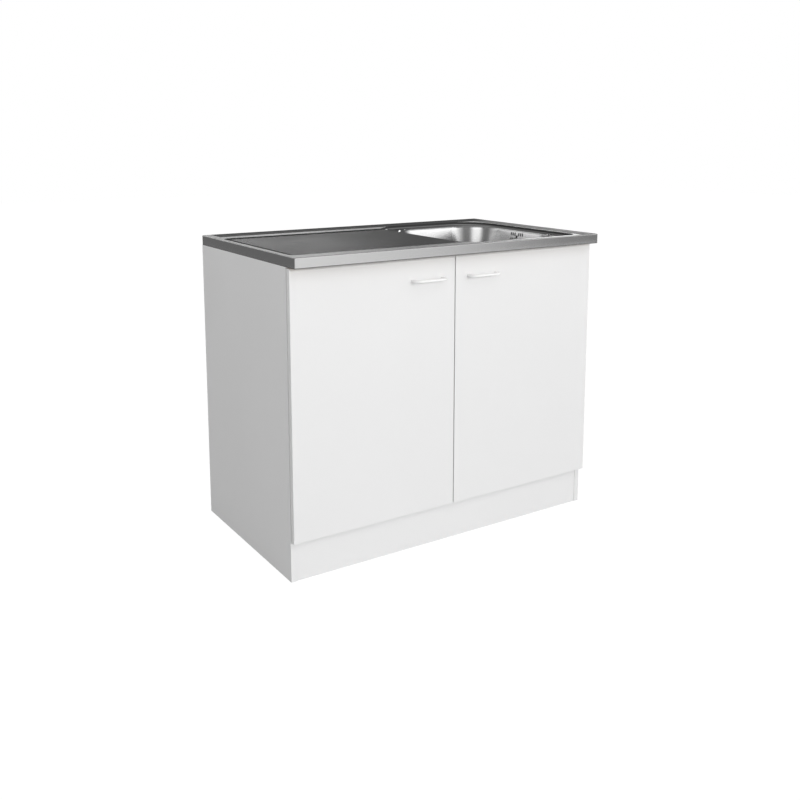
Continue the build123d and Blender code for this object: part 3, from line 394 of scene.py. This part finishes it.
def raw_hardboard(mottle):
    """Thin fibreboard: lacquered white inside, bare brown fibres towards the wall."""
    finish = Finish("raw_hardboard", roughness=0.75)
    effect = finish.effect(mottle, Coarse=9.0, Fine=240.0)
    fine = finish.spread(effect.outputs["Fine"], 0.0, 1.0, 0.4, 0.6)
    fibres = finish.blend(fine, DARK_FIBRE, BARE_FIBRE)
    clouds = finish.blend(finish.spread(effect.outputs["Coarse"], 0.0, 0.5), fibres, PALE_FIBRE)
    normal = finish.add("ShaderNodeNewGeometry")
    split = finish.add("ShaderNodeSeparateXYZ")
    finish.link(normal.outputs["Normal"], split.inputs[0])
    rear = finish.spread(split.outputs["Y"], 0.0, 1.0, 0.3, 0.5)
    finish.colour(finish.blend(rear, grey(0.78), clouds))
    finish.bump(effect.outputs["Fine"], 0.0002, 0.5)
    return finish.material


def softwood(name, grain, stretch, light, dark):
    """Planed timber with its grain along one axis."""
    finish = Finish(name, roughness=0.6)
    effect = finish.effect(grain, Stretch=stretch)
    tone = finish.blend(effect.outputs["Rings"], dark, light)
    finish.colour(finish.blend(finish.spread(effect.outputs["Pores"], 0, 0.35), tone, dark))
    finish.bump(effect.outputs["Pores"], 0.0002, 0.4)
    return finish.material


# Where the sink's finish and its painted shade change: the start and the end of each change, in metres.
RIM_TOP = (0.8470, 0.8477)  # Z: the rim lies above
PRESSED = (0.8408, 0.8425)  # Z: the walls with painted dark shade lie above
DEEP = (0.825, 0.834)  # Z: the bowl's wall lies below
EDGE_FOOT = (0.8219, 0.8224)  # Z: the folded edge has a painted shadow line below
BEHIND = (0.2185, 0.2205)  # Y: the band of painted dark reflection along the back lies behind
WITHIN = (-0.477, -0.475)  # X: that band lies to the right
BESIDE = (0.434, 0.438)  # X: the rim right of the bowl, with painted shade and no satin, lies to the right
EDGE_X = (0.490, 0.494)  # X to either side: the folded edge lies outside
EDGE_Y = (0.290, 0.294)  # Y to either side: the same
STEEP = (0.9935, 0.998)  # upward part of a face's normal: sloping edges lie below, flats above

# How dark the painted shade is in each place, and how much of the painted shade and of the satin steel is
# matt.
BACK_SHADE, SIDE_SHADE, FOOT_SHADE = 0.85, 0.45, 0.75
PAINTED_SHADE_MATT, SATIN_MATT = 0.9, 0.1
DEEP_BLUR, SATIN_BLUR = 0.08, 0.26


def sink_steel(brushed):
    """Stainless sheet brushed along X. The rim is satin, with a light tone that is partly painted sheen, and
    the pressed floors are smoother.
    The pressed walls, the band along the back, the rim right of the bowl and the foot of the folded edge
    carry painted dark shade."""
    finish = Finish("sink_steel", roughness=0.3, metallic=1.0)
    finish.shader.inputs["Specular IOR Level"].default_value = 0
    effect = finish.effect(brushed, Stretch=(1, 90, 90), Fineness=22.0, Cloud_Size=5.0)
    split = finish.add("ShaderNodeSeparateXYZ")
    finish.link(finish.place, split.inputs[0])
    x, y, z = split.outputs
    facing = finish.add("ShaderNodeNewGeometry")
    tilt = finish.add("ShaderNodeSeparateXYZ")
    finish.link(facing.outputs["True Normal"], tilt.inputs[0])

    behind = finish.spread(y, 0.0, 1.0, *BEHIND)
    back = finish.combine("MULTIPLY", behind, finish.spread(x, 0.0, 1.0, *WITHIN))
    rim = finish.combine("SUBTRACT", finish.spread(z, 0.0, 1.0, *RIM_TOP), back)
    satin = finish.combine("MULTIPLY", rim, finish.spread(x, 1.0, 0.0, *BESIDE))
    inside_x = finish.spread(finish.combine("ABSOLUTE", x), 1.0, 0.0, *EDGE_X)
    inside_y = finish.spread(finish.combine("ABSOLUTE", y), 1.0, 0.0, *EDGE_Y)
    inside = finish.combine("MULTIPLY", inside_x, inside_y)
    slope = finish.spread(tilt.outputs["Z"], 1.0, 0.0, *STEEP)
    pressed = finish.spread(z, 0.0, 1.0, *PRESSED)

    # Painted shade: the sloping walls of the pressed hollows are coloured dark.
    wall = finish.combine("MULTIPLY", finish.combine("MULTIPLY", slope, pressed), inside)
    # Painted reflection: the band along the back is coloured dark, as if it mirrored a dark room.
    band = finish.combine("MULTIPLY", finish.combine("MULTIPLY", back, pressed), BACK_SHADE)
    # Painted shade: the rim right of the bowl is coloured darker.
    beside = finish.combine("MULTIPLY", finish.combine("SUBTRACT", rim, satin), SIDE_SHADE)
    outside = finish.combine("SUBTRACT", 1.0, inside)
    # Painted shadow: a dark line along the foot of the folded edge.
    foot = finish.combine("MULTIPLY", finish.spread(z, FOOT_SHADE, 0.0, *EDGE_FOOT), outside)
    # All the painted shade together, which sets the dark colour and the matt share below.
    bands = finish.combine("MAXIMUM", band, beside)
    dark = finish.combine("MAXIMUM", finish.combine("MAXIMUM", wall, foot), bands)

    floor_tone = finish.blend(effect.outputs["Lines"], grey(0.48), grey(0.60))
    # The rim's light tone is partly a painted sheen, brighter than the steel of the floors.
    rim_tone_and_sheen = finish.blend(effect.outputs["Lines"], grey(0.80), grey(0.95))
    # The near-black colour of the painted shade.
    painted_shade_tone = finish.blend(effect.outputs["Lines"], grey(0.028), grey(0.07))
    finish.colour(finish.blend(dark, finish.blend(rim, floor_tone, rim_tone_and_sheen), painted_shade_tone))
    satin_matt = finish.combine("MULTIPLY", satin, SATIN_MATT)
    matt = finish.combine("ADD", satin_matt, finish.combine("MULTIPLY", dark, PAINTED_SHADE_MATT))
    finish.link(finish.combine("SUBTRACT", 1.0, matt), finish.shader.inputs["Metallic"])
    clouds = finish.spread(effect.outputs["Clouds"], 0.10, 0.15)
    gloss = finish.combine("ADD", finish.spread(z, DEEP_BLUR, 0.0, *DEEP), clouds)
    finish.roughness(finish.combine("ADD", finish.combine("MULTIPLY", satin, SATIN_BLUR), gloss))
    finish.bump(effect.outputs["Lines"], 0.00003, 0.4)
    return finish.material


def plain_metal(name, mottle, low, high, roughness, grain):
    """Plated or polished metal, slightly uneven in tone and gloss."""
    finish = Finish(name, roughness=roughness, metallic=1.0)
    effect = finish.effect(mottle, Coarse=30.0, Fine=grain)
    finish.colour(finish.blend(effect.outputs["Fine"], low, high))
    finish.roughness(finish.spread(effect.outputs["Coarse"], roughness - 0.06, roughness + 0.08))
    finish.bump(effect.outputs["Fine"], 0.00003, 0.4)
    return finish.material


def soft_material(name, mottle, low, high, roughness, grain, depth):
    """Plastic, rubber or felt: a matt surface with a fine texture."""
    finish = Finish(name, roughness=roughness)
    effect = finish.effect(mottle, Coarse=12.0, Fine=grain)
    finish.colour(finish.blend(effect.outputs["Coarse"], low, high))
    finish.roughness(finish.spread(effect.outputs["Fine"], roughness - 0.05, roughness + 0.08))
    finish.bump(effect.outputs["Fine"], depth, 0.5)
    return finish.material


# Pairs of colours, between which a material varies.
PINE = ((0.66, 0.52, 0.36), (0.50, 0.36, 0.22))
BEECH = ((0.60, 0.40, 0.24), (0.45, 0.28, 0.15))
ZINC = ((0.46, 0.48, 0.50), (0.62, 0.63, 0.64))
NICKEL = ((0.56, 0.55, 0.52), (0.66, 0.65, 0.61))


def make_materials():
    mottle, brushed, grain = mottle_group(), brushed_group(), grain_group()
    return {
        "white_board": white_board(mottle),
        "fibreboard": raw_hardboard(mottle),
        "timber": softwood("timber", grain, (1, 14, 14), *PINE),
        "beech": softwood("beech", grain, (2, 20, 20), *BEECH),
        "zinc_steel": plain_metal("zinc_steel", mottle, *ZINC, 0.32, 220.0),
        "nickel_steel": plain_metal("nickel_steel", mottle, *NICKEL, 0.26, 300.0),
        "sink_steel": sink_steel(brushed),
        "drain_steel": plain_metal("drain_steel", mottle, grey(0.58), grey(0.66), 0.16, 400.0),
        "white_plastic": soft_material("white_plastic", mottle, grey(0.76), grey(0.80), 0.42, 300.0, 0.00005),
        "dark_plastic": soft_material("dark_plastic", mottle, grey(0.02), grey(0.035), 0.5, 300.0, 0.00005),
        "black_rubber": soft_material("black_rubber", mottle, grey(0.018), grey(0.03), 0.7, 500.0, 0.0001),
        "damping": soft_material("damping", mottle, grey(0.03), grey(0.06), 0.85, 160.0, 0.0004),
        "white_metal": soft_material("white_metal", mottle, grey(0.93), grey(0.95), 0.24, 600.0, 0.00003),
        "soft_bumper": soft_material("soft_bumper", mottle, grey(0.55), grey(0.62), 0.35, 300.0, 0.00003),
    }


def dress_frame(materials):
    """Every carried-over node gets the finish of its slot."""
    for part in frame["record"]["subparts"]:
        piece = frame["nodes"][part["node"]]
        piece.data.materials.clear()
        piece.data.materials.append(materials[part["material_slot"]])
        for polygon in piece.data.polygons:
            polygon.material_index = 0


# ---------------------------------------------------------------- the whole scene
make_camera()
make_studio()
materials = make_materials()
dress_frame(materials)
